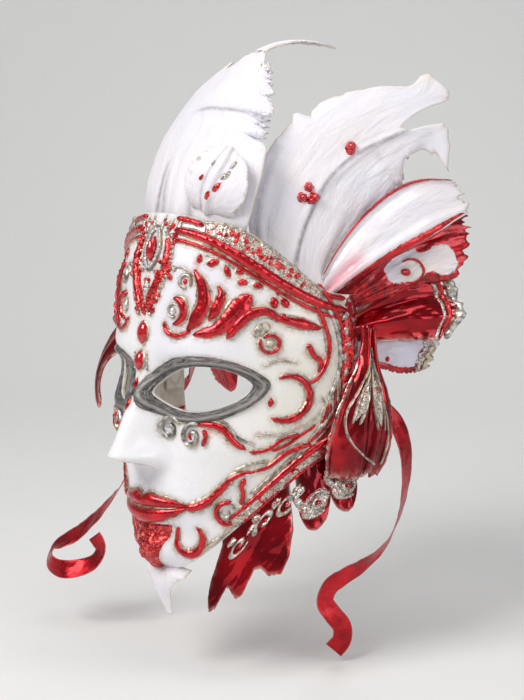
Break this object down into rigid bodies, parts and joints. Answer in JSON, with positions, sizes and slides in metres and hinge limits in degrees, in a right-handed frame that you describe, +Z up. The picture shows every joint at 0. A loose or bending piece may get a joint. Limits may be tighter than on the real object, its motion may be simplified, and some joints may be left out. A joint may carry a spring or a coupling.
{
  "type": "masquerade mask",
  "caption": "Full-face costume mask: a rigid face shell with eye openings, a crest of leather plumes and leaves, raised scrolls and tie ribbons.",
  "frame": {"origin": "middle of the open back, level with the wearer's eyes, where the wearer's face sits", "axes": "+Z up, the face looks along -Y, +X is the wearer's left"},
  "size_m": [0.2534, 0.1962, 0.3773],
  "materials": {
    "gloss_white_shell": "gloss varnish over painted papier-mache",
    "antique_silver": "silver paint rubbed with black wax",
    "metallic_red": "metallic foil paint, raised and varnished",
    "red_glitter": "glitter paste",
    "silver_glitter": "glitter paste",
    "white_leather": "stiffened and painted, matt",
    "red_edged_leather": "stiffened, painted white with a metallic red border",
    "mottled_leather": "stiffened, metallic red with white patches",
    "lilac_leather": "stiffened and painted, cream edge",
    "red_leather": "stiffened, glossy metallic red",
    "red_stone": "faceted or domed acrylic stones",
    "cotton_tab": "glued cotton",
    "red_satin": "satin ribbon"
  },
  "bodies": {
    "mask": {"face_shell": "gloss_white_shell", "left_eye_rim": "antique_silver", "right_eye_rim": "antique_silver", "lips": "metallic_red", "chin_patch": "red_glitter", "chin_tip": "white_leather", "center_plume": "white_leather", "center_plume_lobe": "white_leather", "left_plume": "white_leather", "right_plume": "white_leather", "left_border_plume": "red_edged_leather", "right_border_plume": "red_edged_leather", "left_mottled_leaf": "mottled_leather", "right_mottled_leaf": "mottled_leather", "left_crimson_leaf": "red_leather", "right_crimson_leaf": "red_leather", "left_lilac_leaf": "lilac_leather", "right_lilac_leaf": "red_leather", "left_ear_leaf": "red_leather", "right_claw_leaf": "red_leather", "left_jaw_lobes": "red_leather", "right_jaw_lobes": "red_leather", "left_jaw_fan": "red_leather", "left_crest_cord": "metallic_red", "right_crest_cord": "metallic_red", "left_crest_panel": "silver_glitter", "right_crest_panel": "silver_glitter", "forehead_frame": "silver_glitter", "forehead_stone": "red_stone", "forehead_braid": "red_glitter", "bridge_stones": "red_stone", "nose_dabs": "metallic_red", "left_forehead_dabs": "metallic_red", "right_forehead_dabs": "metallic_red", "left_cheek_stem": "metallic_red", "right_cheek_stem": "metallic_red", "left_brow_flames": "metallic_red", "right_brow_flames": "metallic_red", "left_brow_scroll": "metallic_red", "right_brow_scroll": "metallic_red", "left_temple_ring": "antique_silver", "right_temple_ring": "antique_silver", "left_eye_scroll": "antique_silver", "right_eye_scroll": "antique_silver", "left_cheek_ring": "metallic_red", "right_cheek_ring": "metallic_red", "left_mouth_line": "metallic_red", "right_mouth_line": "metallic_red", "left_jaw_line": "metallic_red", "right_jaw_line": "metallic_red", "left_chin_scroll": "metallic_red", "right_chin_scroll": "metallic_red", "left_temple_band": "red_glitter", "right_temple_band": "red_glitter", "left_plume_stones": "red_stone", "right_plume_stones": "red_stone", "left_ribbon_tab": "cotton_tab", "right_ribbon_tab": "cotton_tab"},
    "left_tie": {"left_ribbon": "red_satin"},
    "right_tie": {"right_ribbon": "red_satin"}
  },
  "joints": [
    {"name": "left_tie_swing", "type": "hinge", "parent": "mask", "child": "left_tie", "pos_m": [0.074, 0.003, -0.01], "axis": [1, 0, 0], "range_deg": [0, 40]},
    {"name": "right_tie_swing", "type": "hinge", "parent": "mask", "child": "right_tie", "pos_m": [-0.074, 0.003, -0.01], "axis": [0, 1, 0], "range_deg": [0, 30]}
  ]
}
